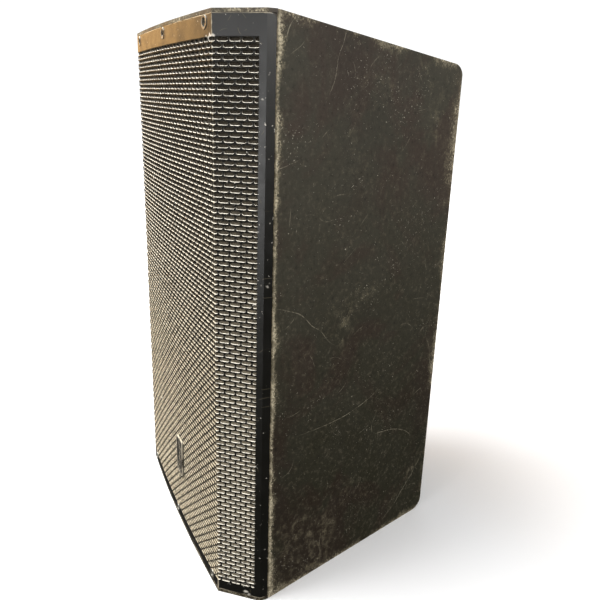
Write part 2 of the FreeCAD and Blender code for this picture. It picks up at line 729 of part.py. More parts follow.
def ports():
    tube = turned(
        (PORT_R + 4.0, -3.0), (PORT_FLANGE_R, -3.0), (PORT_FLANGE_R, 0.0), (PORT_R + PORT_WALL, 0.0),
        (PORT_R + PORT_WALL, PORT_LENGTH), (PORT_R, PORT_LENGTH), (PORT_R, 3.0),
        ((PORT_R + 1.2, -0.8), (PORT_R + 4.0, -3.0)),
    )
    parts["port_tube_right"] = on_baffle(tube, PORT_Z, PORT_X)
    parts["port_tube_left"] = on_baffle(tube, PORT_Z, -PORT_X)


# ============================== Crossover ==============================


def inductor(radius, height):
    """Coil wound between two cheeks."""
    cheek = 2.5
    return turned(
        (8.0, 0.0), (radius, 0.0), (radius, cheek), (radius - cheek, cheek),
        (radius - cheek, height - cheek), (radius, height - cheek), (radius, height), (8.0, height))


def crossover():
    """Board on spacers on the inside of the back panel. Local +Z points into the cabinet."""
    width, height, spacer = 130.0, 108.0, 8.0
    board = box(-width / 2, width / 2, -height / 2, height / 2, spacer, spacer + 1.6)
    holes = corners(width / 2 - 7, height / 2 - 7)
    for x, y in holes:
        board = board.cut(rod(2.1, 0, 20, x, y))
    top = spacer + 1.6

    def seat(name, shape):
        copy = shape.copy()
        copy.rotate(vec(0, 0), X_AXIS, 90)
        copy.translate(vec(0, INNER_BACK, CROSSOVER_Z))
        parts[name] = copy

    seat("crossover_board", board)
    seat("crossover_spacers", group(ring(2.0, 4.5, 0.0, spacer).translate(vec(x, y)) for x, y in holes))
    coils = [(-32.0, 22.0, 26.0, 30.0), (34.0, 24.0, 20.0, 24.0)]
    seat("crossover_inductors", group(
        inductor(r, h).translate(vec(x, y, top)) for x, y, r, h in coils))
    cans = [(-48.0, -20.0), (-24.0, -20.0), (0.0, -20.0)]
    can = turned(
        (0.0, top), (9.0, top), (9.0, top + 28.5), ((8.5, top + 29.6), (7.5, top + 30.0)), (0.0, top + 30.0))
    seat("crossover_capacitors", group(can.copy().translate(vec(x, y)) for x, y in cans))
    resistor = rounded_box(10.0, 46.0, top + 1.0, top + 10.0, 1.5)
    seat("crossover_resistors", group(resistor.copy().translate(vec(x, -22.0)) for x in (26.0, 44.0)))


# ============================== Input dish ==============================


def dish_opening():
    cup = rounded_box(DISH_CUP[0] + 1, DISH_CUP[1] + 1, -PLY - 1, 1, 10.5)
    rebate = rounded_box(DISH_FLANGE[0] + 0.6, DISH_FLANGE[1] + 0.6, -TRIM, 1, 8.3)
    return with_pilot_holes(cup.fuse(rebate), dish_screw_places())


def dish_screw_places():
    return corners(DISH_FLANGE[0] / 2 - 6, DISH_FLANGE[1] / 2 - 6)


def input_dish():
    outer = rounded_box(*DISH_CUP, -DISH_DEPTH - DISH_FLOOR, 0.0, 10.0)
    flange = rounded_box(*DISH_FLANGE, -TRIM, 0.0, 8.0)
    inner = rounded_box(DISH_CUP[0] - 6, DISH_CUP[1] - 6, -DISH_DEPTH, 1.0, 7.0)
    dish = outer.fuse(flange).cut(inner)
    for x in (-SOCKET_X, SOCKET_X):
        dish = dish.cut(rod(14.1, -60, 0, x, -SOCKET_DROP))
    dish = dish.cut(rod(4.6, -60, 0, 0, SELECTOR_RISE))
    dish = countersunk(dish, dish_screw_places())
    for x, y in socket_screw_places():
        dish = dish.cut(rod(1.6, -60, 0, x, y))
    parts["input_dish"] = on_back(dish.removeSplitter(), INPUT_Z)
    sockets()
    selector()


def socket_screw_places():
    return [
        (side * SOCKET_X + sign * 13.5, sign * 15.5 - SOCKET_DROP) for side in (-1, 1) for sign in (-1, 1)
    ]


def sockets():
    """Locking speaker sockets: square flange, round barrel, centre post, and contacts behind."""
    floor = -DISH_DEPTH
    plate_top, bore_foot, barrel_foot = floor + 3.0, floor - 15.0, floor - 18.0
    plate = rounded_box(34.0, 38.0, floor, plate_top, 4.0)
    barrel = rod(14.0, barrel_foot, plate_top)
    bore = ring(SOCKET_POST_R, SOCKET_BORE_R, bore_foot, plate_top + 1.0)
    key = box(-1.6, 1.6, SOCKET_BORE_R - 1.0, SOCKET_BORE_R + 1.6, bore_foot, plate_top + 1.0)
    over_post = rod(SOCKET_BORE_R, floor + 1.5, plate_top + 1.0)
    shell = plate.fuse(barrel).cut([bore, key, over_post])
    for sign in (-1, 1):
        shell = shell.cut(rod(1.6, floor - 1, plate_top + 1.0, sign * 13.5, sign * 15.5))
    for name, x in (("speaker_socket_in", -SOCKET_X), ("speaker_socket_link", SOCKET_X)):
        parts[name] = on_back(shell.copy().translate(vec(x, -SOCKET_DROP)), INPUT_Z)
    tab = box(-2.4, 2.4, -0.4, 0.4, barrel_foot - 10.0, barrel_foot)
    tabs = [
        tab.copy().translate(vec(side * SOCKET_X + dx, -SOCKET_DROP + dy))
        for side in (-1, 1) for dx in (-5.0, 5.0) for dy in (-5.0, 5.0)
    ]
    parts["socket_contacts"] = on_back(group(tabs), INPUT_Z)
    small = screw(1.5, 9.0, 2.8, 1.8)
    small.translate(vec(0, 0, plate_top))
    parts["socket_screws"] = on_back(
        group(small.copy().translate(vec(x, y)) for x, y in socket_screw_places()), INPUT_Z)


def selector():
    """Two-position rotary switch: body behind the dish's floor, knob in front of it."""
    floor = -DISH_DEPTH
    bushing = ring(3.05, 4.5, floor - DISH_FLOOR, floor)
    housing = ring(3.05, 12.0, floor - 18.0, floor - DISH_FLOOR).fuse(bushing)
    knob = turned(
        (0.0, floor + 0.6), (11.0, floor + 0.6), (11.0, floor + 3.0), (9.0, floor + 5.0),
        (8.6, floor + 12.5), ((8.2, floor + 13.6), (7.0, floor + 14.0)), (0.0, floor + 14.0))
    grip = box(-2.2, 2.2, -10.6, 10.6, floor + 3.0, floor + 16.0)
    knob = knob.fuse(grip).fuse(rod(3.0, floor - 16.0, floor + 1.0)).removeSplitter()
    lift = vec(0, SELECTOR_RISE)
    parts["selector_body"] = on_back(housing.removeSplitter().translate(lift), INPUT_Z)
    parts["selector_knob"] = on_back(knob.translate(lift), INPUT_Z)


# ============================== Handles ==============================


def handle_screw_places():
    return corners(HANDLE_FLANGE[0] / 2 - 7, HANDLE_FLANGE[1] / 2 - 7)


def handle_opening():
    cup = rounded_box(HANDLE_CUP[0] + 1, HANDLE_CUP[1] + 1, -PLY - 1, 1, 20.5)
    rebate = rounded_box(HANDLE_FLANGE[0] + 0.6, HANDLE_FLANGE[1] + 0.6, -TRIM, 1, 12.3)
    return with_pilot_holes(cup.fuse(rebate), handle_screw_places())


def handles():
    w, l = HANDLE_CUP
    outer = rounded_box(w, l, -HANDLE_DEPTH, 0.0, 20.0)
    inner = rounded_box(w - 2 * HANDLE_WALL, l - 2 * HANDLE_WALL, -HANDLE_DEPTH + HANDLE_WALL, 1.0, 17.0)
    dish = outer.fuse(rounded_box(*HANDLE_FLANGE, -TRIM, 0.0, 12.0)).cut(inner).removeSplitter()
    dish = countersunk(dish, handle_screw_places())
    reach = w / 2 - HANDLE_WALL
    grip = Part.makeCylinder(GRIP_R, 2 * reach, vec(-reach, 0, -GRIP_DEPTH), X_AXIS)
    for end in (-1, 1):
        boss = Part.makeCone(GRIP_R + 3.5, GRIP_R, 9.0, vec(end * reach, 0, -GRIP_DEPTH), vec(-end, 0, 0))
        grip = grip.fuse(boss)
    grip = grip.common(box(-w, w, -l, l, -HANDLE_DEPTH, -1.0)).removeSplitter()
    parts["top_handle_dish"] = on_top(dish, TOP_HANDLE_Y)
    parts["top_handle_grip"] = on_top(grip, TOP_HANDLE_Y)
    parts["back_handle_dish"] = on_back(dish, BACK_HANDLE_Z)
    parts["back_handle_grip"] = on_back(grip, BACK_HANDLE_Z)


# ============================== Pole socket and suspension ==============================


def pole_screw_places():
    return corners(36.0, 36.0)


def pole_opening():
    opening = rod(POLE_BORE_R + 3.2, -PLY - 1, 1).fuse(rounded_box(96.6, 96.6, -TRIM, 1, 10.3))
    return with_pilot_holes(opening, pole_screw_places())


def pole_socket():
    cup = rod(POLE_BORE_R + 3.0, -POLE_DEPTH - 3.0, 0).fuse(rounded_box(96.0, 96.0, -TRIM, 0, 10.0))
    cup = cup.cut(rod(POLE_BORE_R, -POLE_DEPTH, 1))
    cup = countersunk(cup, pole_screw_places())
    parts["pole_socket"] = on_bottom(cup.removeSplitter(), POLE_Y)


def suspension():
    """Steel plates with M10 threads, inside the top and back panels."""
    w, l, t = SUSPENSION_PLATE
    plate = rounded_box(w, l, -PLY - t, -PLY, 6.0).fuse(rod(M10_R * 2, -SUSPENSION_REACH, -PLY))
    plate = plate.cut(rod(M10_R, -SUSPENSION_REACH - 1, 0)).removeSplitter()
    plates = [on_top(plate, y) for y in SUSPENSION_Y]
    plates.append(on_back(plate, SUSPENSION_BACK_Z))
    parts["suspension_plates"] = group(plates)


# ============================== Screws that are all alike ==============================


def all_panel_screws():
    handle = panel_screws(handle_screw_places())
    parts["panel_screws"] = group([
        on_top(handle, TOP_HANDLE_Y),
        on_back(handle, BACK_HANDLE_Z),
        on_back(panel_screws(dish_screw_places()), INPUT_Z),
        on_bottom(panel_screws(pole_screw_places()), POLE_Y),
    ])


def main():
    cabinet()
    grille()
    grille_fixings()
    parts["badge"] = badge()
    woofer()
    horn()
    compression_driver()
    ports()
    crossover()
    input_dish()
    handles()
    pole_socket()
    suspension()
    all_panel_screws()
    os.makedirs("parts", exist_ok=True)
    for name, shape in parts.items():
        if not shape.isValid():
            print("not valid:", name)
        shape.exportStep("parts/" + name + ".step")
    print(len(parts), "nodes")


main()
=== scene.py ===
import json
import math

import bmesh
import bpy
from mathutils import Matrix, Vector, noise


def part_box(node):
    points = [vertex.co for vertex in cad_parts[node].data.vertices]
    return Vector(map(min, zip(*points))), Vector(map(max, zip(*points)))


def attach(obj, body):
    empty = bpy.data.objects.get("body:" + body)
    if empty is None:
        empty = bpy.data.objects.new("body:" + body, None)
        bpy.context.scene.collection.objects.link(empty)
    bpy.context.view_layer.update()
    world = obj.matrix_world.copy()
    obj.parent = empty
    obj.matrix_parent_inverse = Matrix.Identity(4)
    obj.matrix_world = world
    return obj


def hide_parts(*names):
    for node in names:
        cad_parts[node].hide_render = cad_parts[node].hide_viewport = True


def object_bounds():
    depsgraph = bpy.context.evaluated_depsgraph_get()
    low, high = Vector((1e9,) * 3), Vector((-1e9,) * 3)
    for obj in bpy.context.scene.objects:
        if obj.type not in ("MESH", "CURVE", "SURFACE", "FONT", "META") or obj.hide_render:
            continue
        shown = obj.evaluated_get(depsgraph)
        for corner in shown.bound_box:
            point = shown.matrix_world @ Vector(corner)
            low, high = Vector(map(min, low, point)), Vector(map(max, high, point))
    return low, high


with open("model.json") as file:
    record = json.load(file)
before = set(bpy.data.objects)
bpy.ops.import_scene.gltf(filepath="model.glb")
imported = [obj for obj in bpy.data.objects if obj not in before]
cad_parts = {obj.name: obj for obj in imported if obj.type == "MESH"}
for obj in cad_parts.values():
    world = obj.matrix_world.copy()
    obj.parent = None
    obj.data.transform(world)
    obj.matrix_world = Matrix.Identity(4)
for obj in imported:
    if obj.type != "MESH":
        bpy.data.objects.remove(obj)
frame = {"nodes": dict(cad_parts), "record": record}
cad_low, cad_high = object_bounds()

# Two-way stage loudspeaker cabinet, worn from touring. Metres, +Z up, grille towards -Y.

# --- The folded grille sheet: centre face slightly bowed, two facets, two short returns -----------
FACE_HALF = 0.1845
FACE_BOW = 0.0060
FACET_ANGLE = math.radians(48.6)
SHEET = 0.0015
RETURN_CORNER_R = 0.007

# --- Its perforation: obround slots in brick rows, cut off straight near the outer edge of each facet 
ROW_PITCH = 0.0060
SLOT_PITCH = 0.01403
SLOT_LENGTH = 0.0122
SLOT_HEIGHT = 0.0037
SLOT_CHAMFER = 0.0005
SLOT_END_STEPS = 4
HOLE_STEPS = 20
CORNER_STEPS = 6
ROWS = 115
FIRST_ROW_Z = 0.0213
PERFORATED_FACET = 0.0526
FIXING_HOLE_R = 0.0055
WASHER_R = 0.0074

# --- Foam behind the grille -----------------------------------------------------------------------
FOAM_GAP = 0.0005
FOAM_THICK = 0.005
FOAM_STEP = 0.006
FOAM_INSET = 0.004
FOAM_SWELL = 0.0003

# --- Outline worked out from the CAD model's boxes ------------------------------------------------
grille_low, grille_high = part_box("grille")
foam_low, foam_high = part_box("grille_foam")
badge_low, badge_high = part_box("badge")
FRONT = grille_low.y
HALF_WIDTH = grille_high.x
FOLD_Y = FRONT + FACE_BOW
BOW_RADIUS = (FACE_HALF**2 + FACE_BOW**2) / (2 * FACE_BOW)
ARC_HALF = BOW_RADIUS * math.asin(FACE_HALF / BOW_RADIUS)
FACET_LENGTH = (HALF_WIDTH - FACE_HALF) / math.cos(FACET_ANGLE)
CORNER_Y = FOLD_Y + FACET_LENGTH * math.sin(FACET_ANGLE)
RETURN_LENGTH = grille_high.y - CORNER_Y
CORNER_S = ARC_HALF + FACET_LENGTH
END_S = CORNER_S + RETURN_LENGTH
PERFORATED_S = ARC_HALF + PERFORATED_FACET
HEIGHT = cad_high.z
BACK = cad_high.y
TOP_FALL = math.radians(7.0)
SIDE_GAP = 0.001
SIDE_Y = grille_high.y + SIDE_GAP


# ============================== Node helpers ==============================


def srgb(red, green, blue):
    """Linear colour from 0-255 display values."""
    channels = []
    for value in (red, green, blue):
        c = value / 255
        channels.append(c / 12.92 if c <= 0.04045 else ((c + 0.055) / 1.055) ** 2.4)
    return (*channels, 1.0)


class Graph:
    """A material's node tree with short calls for the nodes that repeat."""

    def __init__(self, name):
        self.material = bpy.data.materials.new(name)
        self.material.use_nodes = True
        self.tree = self.material.node_tree
        self.shader = self.tree.nodes["Principled BSDF"]
        self.where = self.add("ShaderNodeTexCoord").outputs["Object"]
        split = self.add("ShaderNodeSeparateXYZ", {"Vector": self.where})
        self.x, self.y, self.z = split.outputs

    def add(self, kind, inputs=None, **settings):
        node = self.tree.nodes.new(kind)
        for key, value in settings.items():
            setattr(node, key, value)
        for key, value in (inputs or {}).items():
            self.feed(node.inputs[key], value)
        return node

    def feed(self, socket, value):
        if isinstance(value, bpy.types.NodeSocket):
            self.tree.links.new(value, socket)
        else:
            socket.default_value = value

    def set(self, **values):
        """Sets the shader's inputs; underscores stand for spaces."""
        for key, value in values.items():
            self.feed(self.shader.inputs[key.replace("_", " ")], value)

    def math(self, operation, a, b=0.0, clamp=False):
        node = self.add("ShaderNodeMath", operation=operation, use_clamp=clamp)
        self.feed(node.inputs[0], a)
        self.feed(node.inputs[1], b)
        return node.outputs[0]

    def vector(self, operation, inputs):
        return self.add("ShaderNodeVectorMath", inputs, operation=operation).outputs[0]

    def noise(self, scale, detail=4.0, roughness=0.6, distortion=0.0, vector=None):
        node = self.add("ShaderNodeTexNoise", {
            "Vector": vector or self.where, "Scale": scale, "Detail": detail, "Roughness": roughness,
            "Distortion": distortion})
        return node.outputs["Fac"]

    def step(self, value, low, high, to_low=0.0, to_high=1.0):
        """Smooth step from to_low at low to to_high at high."""
        node = self.add("ShaderNodeMapRange", {
            "Value": value, "From Min": low, "From Max": high, "To Min": to_low, "To Max": to_high},
            interpolation_type="SMOOTHSTEP")
        return node.outputs["Result"]

    def mix(self, factor, a, b):
        node = self.add("ShaderNodeMix", data_type="RGBA")
        self.feed(node.inputs["Factor"], factor)
        self.feed(node.inputs[6], a)
        self.feed(node.inputs[7], b)
        return node.outputs[2]

    def both(self, a, b):
        return self.math("MULTIPLY", a, b, clamp=True)

    def either(self, a, b):
        return self.math("MAXIMUM", a, b, clamp=True)

    def on_facets(self):
        """1 on the grille's facets and returns, 0 on its centre face."""
        return self.math("GREATER_THAN", self.math("ABSOLUTE", self.x), FACE_HALF)

    def stretched(self, sx, sy, sz):
        return self.add("ShaderNodeMapping", {"Vector": self.where, "Scale": (sx, sy, sz)}).outputs[0]

    def cells(self, scale, vector=None):
        """A Voronoi node, which gives the distance to each cell's point, a random colour, and the point."""
        return self.add("ShaderNodeTexVoronoi", {"Vector": vector or self.where, "Scale": scale})

    def flakes(self, scale, share, crowding=0.03, extra=0.0):
        """Small irregular chips, crowded together in places. A lower share leaves fewer."""
        crowd = self.math("MULTIPLY", self.step(self.noise(13.0, 3.0, 0.6), 0.45, 0.70), crowding)
        field = self.math("ADD", self.noise(scale, 2.5, 0.6, 0.4), self.math("ADD", crowd, extra))
        return self.step(field, 0.76 - share, 0.78 - share)

    def scratches(self, u, v, scale, length, width, share, seed=0.0):
        """Short, slightly bent scratches in a share of the cells, each at its own angle.

        The length and width are relative to a cell.
        """
        place = self.add("ShaderNodeCombineXYZ", {"X": u, "Y": v, "Z": seed}).outputs[0]
        node = self.cells(scale, place)
        scaled = self.vector("SCALE", {0: place, 3: scale})
        point = self.vector("SCALE", {0: node.outputs["Position"], 3: scale})
        offset = self.vector("SUBTRACT", {0: scaled, 1: point})
        chance = self.add("ShaderNodeSeparateColor", {"Color": node.outputs["Color"]})
        angle = self.math("MULTIPLY", chance.outputs[0], math.tau)
        turned = self.add(
            "ShaderNodeVectorRotate", {"Vector": offset, "Angle": angle}, rotation_type="Z_AXIS")
        lengthwise, sideways, _ = self.add("ShaderNodeSeparateXYZ", {"Vector": turned.outputs[0]}).outputs
        bend = self.math("MULTIPLY", self.math("MULTIPLY", lengthwise, lengthwise), chance.outputs[2])
        side = self.math("ABSOLUTE", self.math("SUBTRACT", sideways, bend))
        along = self.math("ABSOLUTE", lengthwise)
        inside = self.both(self.step(side, width, 0.0), self.step(along, length, length * 0.4))
        return self.both(inside, self.math("LESS_THAN", chance.outputs[1], share))

    def bump(self, height, strength=0.3, distance=0.0005, normal=None):
        inputs = {"Height": height, "Strength": strength, "Distance": distance}
        if normal:
            inputs["Normal"] = normal
        return self.add("ShaderNodeBump", inputs).outputs[0]


# ============================== Materials ==============================


def behind_front(g):
    """Distance behind the outline of the centre face and the facets."""
    bow = g.math("DIVIDE", g.math("MULTIPLY", g.x, g.x), 2 * BOW_RADIUS)
    behind_face = g.math("SUBTRACT", g.math("SUBTRACT", g.y, FRONT), bow)
    out = g.math("MULTIPLY", g.math("SUBTRACT", g.math("ABSOLUTE", g.x), FACE_HALF), math.sin(FACET_ANGLE))
    back = g.math("MULTIPLY", g.math("SUBTRACT", g.y, FOLD_Y), math.cos(FACET_ANGLE))
    return g.math("MINIMUM", behind_face, g.math("SUBTRACT", back, out))


def painted_wood(name, u, v, edges, seed):
    """Satin paint on plywood, rubbed pale along its edges. u and v are the face's own axes.

    Each edge is (axis, place, reach): how far the wear reaches from it. The axis "drop" is the distance
    below the sloping top, and "lip" the distance behind the grille's outline.
    """
    g = Graph(name)
    slope = g.math("MULTIPLY", g.math("MAXIMUM", g.math("SUBTRACT", g.y, SIDE_Y), 0.0), math.tan(TOP_FALL))
    drop = g.math("SUBTRACT", HEIGHT, g.math("ADD", g.z, slope))
    axes = {"x": g.x, "y": g.y, "z": g.z, "drop": drop, "lip": behind_front(g)}
    fine = g.noise(85.0, 6.0, 0.72)
    grit = g.noise(700.0, 3.0, 0.7)
    flecks = g.noise(380.0, 3.0, 0.7)
    rough_edge = g.math("ADD", g.math("MULTIPLY", fine, 1.7), g.math("MULTIPLY", flecks, 1.7))

    # Painted light: the paint is lighter towards the top and darker towards the bottom, as the light falls on
    # the panels.
    painted_light_by_height = g.step(g.z, 0.05, HEIGHT * 0.95)
    olive = g.mix(painted_light_by_height, srgb(42, 40, 26), srgb(69, 66, 55))
    brown = g.mix(painted_light_by_height, srgb(43, 34, 23), srgb(69, 59, 50))
    paint = g.mix(g.step(g.noise(8.0, 5.0, 0.6, 0.8), 0.44, 0.60), olive, brown)
    paint = g.mix(g.math("MULTIPLY", g.step(grit, 0.50, 0.80), 0.25), paint, srgb(92, 85, 72))
    mottle = g.noise(150.0, 6.0, 0.75)
    paint = g.mix(g.math("MULTIPLY", g.step(mottle, 0.52, 0.66), 0.55), paint, srgb(98, 91, 76))
    paint = g.mix(g.math("MULTIPLY", g.step(mottle, 0.46, 0.32), 0.45), paint, srgb(14, 12, 9))
    paint = g.mix(g.math("MULTIPLY", g.step(g.noise(3.5, 4.0), 0.50, 0.78), 0.35), paint, srgb(20, 18, 14))

    haze, bare = 0.0, 0.0
    swell = g.step(g.noise(11.0, 3.0, 0.6), 0.30, 0.72, 0.45, 1.9)
    for axis, place, reach in edges:
        gap = g.math("ABSOLUTE", g.math("SUBTRACT", axes[axis], place))
        nearness = g.math("DIVIDE", gap, g.math("MULTIPLY", swell, reach))
        ragged = g.math("ADD", nearness, g.math("SUBTRACT", rough_edge, 1.7))
        haze = g.either(haze, g.step(ragged, 1.0, 0.0))
        bare = g.either(bare, g.step(ragged, 0.60, 0.15))
    smudge = g.both(g.step(g.noise(7.0, 6.0, 0.72, 0.7), 0.52, 0.70), g.step(fine, 0.46, 0.62))
    haze = g.either(haze, g.math("MULTIPLY", smudge, 0.70))
    haze = g.both(haze, g.step(grit, 0.40, 0.56, 0.25, 1.0))

    uu, vv = axes[u], axes[v]
    sway = g.math("MULTIPLY", g.math("SUBTRACT", g.noise(7.0, 2.0), 0.5), 0.10)
    long_marks = g.scratches(g.math("ADD", uu, sway), vv, 6.0, 0.48, 0.0045, 0.60, seed)
    short_marks = g.scratches(uu, g.math("ADD", vv, sway), 22.0, 0.30, 0.014, 0.32, seed + 5.0)
    broken = g.step(g.noise(170.0, 4.0, 0.7), 0.40, 0.56, 0.15, 1.0)
    marks = g.both(g.either(long_marks, g.math("MULTIPLY", short_marks, 0.7)), broken)

    chips = g.flakes(430.0, 0.045, 0.055, g.math("MULTIPLY", haze, 0.045))

    colour = g.mix(g.math("MULTIPLY", haze, 0.75), paint, srgb(150, 140, 114))
    colour = g.mix(g.math("MULTIPLY", marks, 0.75), colour, srgb(166, 157, 136))
    colour = g.mix(g.both(bare, g.step(fine, 0.42, 0.56, 0.10, 1.0)), colour, srgb(226, 213, 182))
    colour = g.mix(g.math("MULTIPLY", chips, 0.85), colour, srgb(198, 190, 172))

    rough = g.step(g.noise(22.0, 5.0, 0.7), 0.3, 0.75, 0.48, 0.66)
    rough = g.math("ADD", rough, g.math("MULTIPLY", haze, 0.22), clamp=True)
    height = g.math("ADD", g.math("MULTIPLY", fine, 0.5), g.math("MULTIPLY", grit, 0.35))
    height = g.math("SUBTRACT", height, g.math("MULTIPLY", g.either(marks, g.either(chips, bare)), 0.8))
    g.set(Base_Color=colour, Roughness=rough, Normal=g.bump(height, 0.35, 0.0006))
    g.set(Specular_IOR_Level=0.42)
    return g.material


def grille_paint(name, sheen, roughness):
    """Powder coat on steel: scratched, chipped bright at the folds and rims. Painted light: the facets' coat
    is lighter towards the top than the centre face's.
    """
    g = Graph(name)
    fine = g.noise(70.0, 6.0, 0.7)
    grit = g.noise(1400.0, 3.0, 0.6)
    painted_light_by_height = g.step(g.z, HEIGHT * 0.6, HEIGHT)
    reach = g.math("ABSOLUTE", g.x)
    # Painted light: the facets turn lighter towards the top and differ from the centre face, as the light
    # falls on them.
    facet_coat_painted_light = g.mix(painted_light_by_height, srgb(17, 16, 11), srgb(38, 37, 35))
    coat = g.mix(g.on_facets(), srgb(20, 17, 11), facet_coat_painted_light)
    coat = g.mix(g.math("MULTIPLY", g.step(g.noise(14.0, 4.0), 0.5, 0.8), 0.4), coat, srgb(40, 37, 31))

    near_fold = g.math("ABSOLUTE", g.math("SUBTRACT", reach, FACE_HALF))
    rim = g.math("MINIMUM", g.math("SUBTRACT", g.z, grille_low.z), g.math("SUBTRACT", grille_high.z, g.z))
    edge = g.math("MINIMUM", near_fold, rim)
    ragged = g.math("ADD", edge, g.math("MULTIPLY", g.math("SUBTRACT", fine, 0.5), 0.004))
    worn = g.both(g.step(ragged, 0.0011, 0.0003), g.step(g.noise(35.0, 4.0), 0.36, 0.6))
    marks = g.scratches(reach, g.z, 45.0, 0.22, 0.014, 0.25, 3.0)
    marks = g.either(marks, g.math("MULTIPLY", g.scratches(reach, g.z, 80.0, 0.3, 0.03, 0.3, 8.0), 0.6))
    knocks = g.both(g.step(g.noise(26.0, 3.0, 0.6), 0.69, 0.72), g.step(fine, 0.42, 0.50))
    chips = g.either(g.flakes(260.0, 0.045), knocks)

    colour = g.mix(g.math("MULTIPLY", marks, 0.45), coat, srgb(150, 138, 112))
    colour = g.mix(worn, colour, srgb(196, 184, 160))
    colour = g.mix(chips, colour, srgb(214, 208, 196))
    rough = g.step(g.noise(40.0, 5.0, 0.7), 0.3, 0.8, roughness, roughness * 1.5)
    height = g.math("ADD", g.math("MULTIPLY", grit, 0.6), g.math("MULTIPLY", fine, 0.4))
    height = g.math("SUBTRACT", height, g.either(worn, g.either(marks, chips)))
    g.set(Base_Color=colour, Roughness=rough, Normal=g.bump(height, 0.25, 0.0004))
    g.set(Specular_IOR_Level=sheen)
    return g.material


def slot_walls():
    """Rims and walls of the slots: what faces up is pale, partly dust and partly a painted highlight, paler
    still higher up and on the facets, which is painted light; the paint is rubbed thin on the rims.
    """
    g = Graph("slot_rims_and_walls")
    facing = g.add("ShaderNodeNewGeometry").outputs["Normal"]
    up = g.add("ShaderNodeSeparateXYZ", {"Vector": facing}).outputs[2]
    fine = g.noise(260.0, 5.0, 0.7)
    # Pale where the walls face up: dust, and a painted highlight where light from above catches the lower
    # lips.
    dust_and_painted_highlight = g.both(g.step(up, 0.15, 0.7), g.step(fine, 0.25, 0.6))
    rubbed = g.step(g.noise(120.0, 4.0, 0.7), 0.42, 0.62)
    high = g.step(g.z, HEIGHT * 0.3, HEIGHT)
    colour = g.mix(g.math("MULTIPLY", rubbed, 0.25), srgb(26, 24, 19), srgb(150, 141, 120))
    # Paler higher up and on the facets: painted light.
    paleness = g.mix(g.either(high, g.on_facets()), srgb(196, 184, 158), srgb(248, 241, 224))
    colour = g.mix(dust_and_painted_highlight, colour, paleness)
    g.set(Base_Color=colour, Roughness=g.step(fine, 0.2, 0.8, 0.45, 0.8), Normal=g.bump(fine, 0.3, 0.0003))
    return g.material


def dusty_foam():
    """Open-cell foam: charcoal, turning pale tan towards the bottom, and paler behind the facets, which is a
    painted highlight.
    """
    g = Graph("dusty_open_cell_foam")
    cells = g.cells(650.0).outputs["Distance"]
    coarse = g.noise(30.0, 5.0, 0.7)
    level = g.math("ADD", g.z, g.math("MULTIPLY", g.math("SUBTRACT", coarse, 0.5), 0.30))
    # Paler towards the bottom.
    paleness = g.step(level, HEIGHT * 0.95, HEIGHT * 0.15, 0.06, 1.0)
    # Painted highlight: the pale tone is lighter behind the facets than behind the centre face.
    pale_tone_lit_on_facets = g.mix(g.on_facets(), srgb(172, 154, 124), srgb(196, 183, 158))
    colour = g.mix(paleness, srgb(26, 24, 20), pale_tone_lit_on_facets)
    colour = g.mix(g.math("MULTIPLY", g.step(cells, 0.25, 0.75), 0.6), colour, srgb(76, 68, 58))
    g.set(Base_Color=colour, Roughness=0.95, Normal=g.bump(cells, 0.8, 0.0012))
    g.set(Sheen_Weight=0.2, Specular_IOR_Level=0.15)
    return g.material


def metal(name, colour, dark, roughness, scale=120.0):
    """Plated or bare metal with tarnish and fine scratches."""
    g = Graph(name)
    tarnish = g.step(g.noise(scale, 6.0, 0.7), 0.42, 0.72)
    lines = g.noise(60.0, 5.0, 0.75, 0.0, g.stretched(1.0, 1.0, 14.0))
    g.set(Base_Color=g.mix(tarnish, colour, dark), Metallic=1.0)
    g.set(Roughness=g.step(lines, 0.3, 0.7, roughness * 0.75, min(1.0, roughness * 1.5)))
    g.set(Normal=g.bump(g.math("ADD", lines, tarnish), 0.15, 0.0002))
    return g.material


def coated(name, colour, worn, roughness, grain=700.0, depth=0.0003):
    """Paint, moulded plastic or rubber: fine grain, scuffs that turn paler, and dust in patches."""
    g = Graph(name)
    grit = g.noise(grain, 3.0, 0.6)
    patches = g.step(g.noise(28.0, 6.0, 0.7), 0.48, 0.76)
    marks = g.scratches(g.math("ADD", g.x, g.y), g.z, 60.0, 0.4, 0.025, 0.4, 2.0)
    marks = g.either(marks, g.scratches(g.x, g.y, 60.0, 0.4, 0.025, 0.4, 6.0))
    shade = g.mix(g.math("MULTIPLY", patches, 0.35), colour, worn)
    g.set(Base_Color=g.mix(g.math("MULTIPLY", marks, 0.4), shade, worn))
    g.set(Roughness=g.step(grit, 0.2, 0.8, roughness * 0.85, min(1.0, roughness * 1.2)))
    g.set(Normal=g.bump(g.math("SUBTRACT", grit, marks), 0.3, depth))
    return g.material


def blank_badge():
    """Black plate rubbed bright along its raised rim, and nothing on its face but wear."""
    g = Graph("blank_worn_badge")
    fine = g.noise(420.0, 5.0, 0.7)
    middle = (badge_low + badge_high) / 2
    half = (badge_high - badge_low) / 2
    from_side = g.math("SUBTRACT", half.x, g.math("ABSOLUTE", g.math("SUBTRACT", g.x, middle.x)))
    from_end = g.math("SUBTRACT", half.z, g.math("ABSOLUTE", g.math("SUBTRACT", g.z, middle.z)))
    rim = g.step(g.math("MINIMUM", from_side, from_end), 0.0030, 0.0012)
    rubbed = g.both(rim, g.step(g.noise(90.0, 4.0), 0.36, 0.52))
    rubbed = g.either(rubbed, g.both(g.step(g.noise(150.0, 4.0, 0.7), 0.52, 0.60), g.step(fine, 0.4, 0.6)))
    g.set(Base_Color=g.mix(rubbed, srgb(38, 35, 30), srgb(214, 204, 182)))
    g.set(Roughness=g.step(fine, 0.2, 0.8, 0.35, 0.6), Normal=g.bump(fine, 0.3, 0.0003))
    return g.material


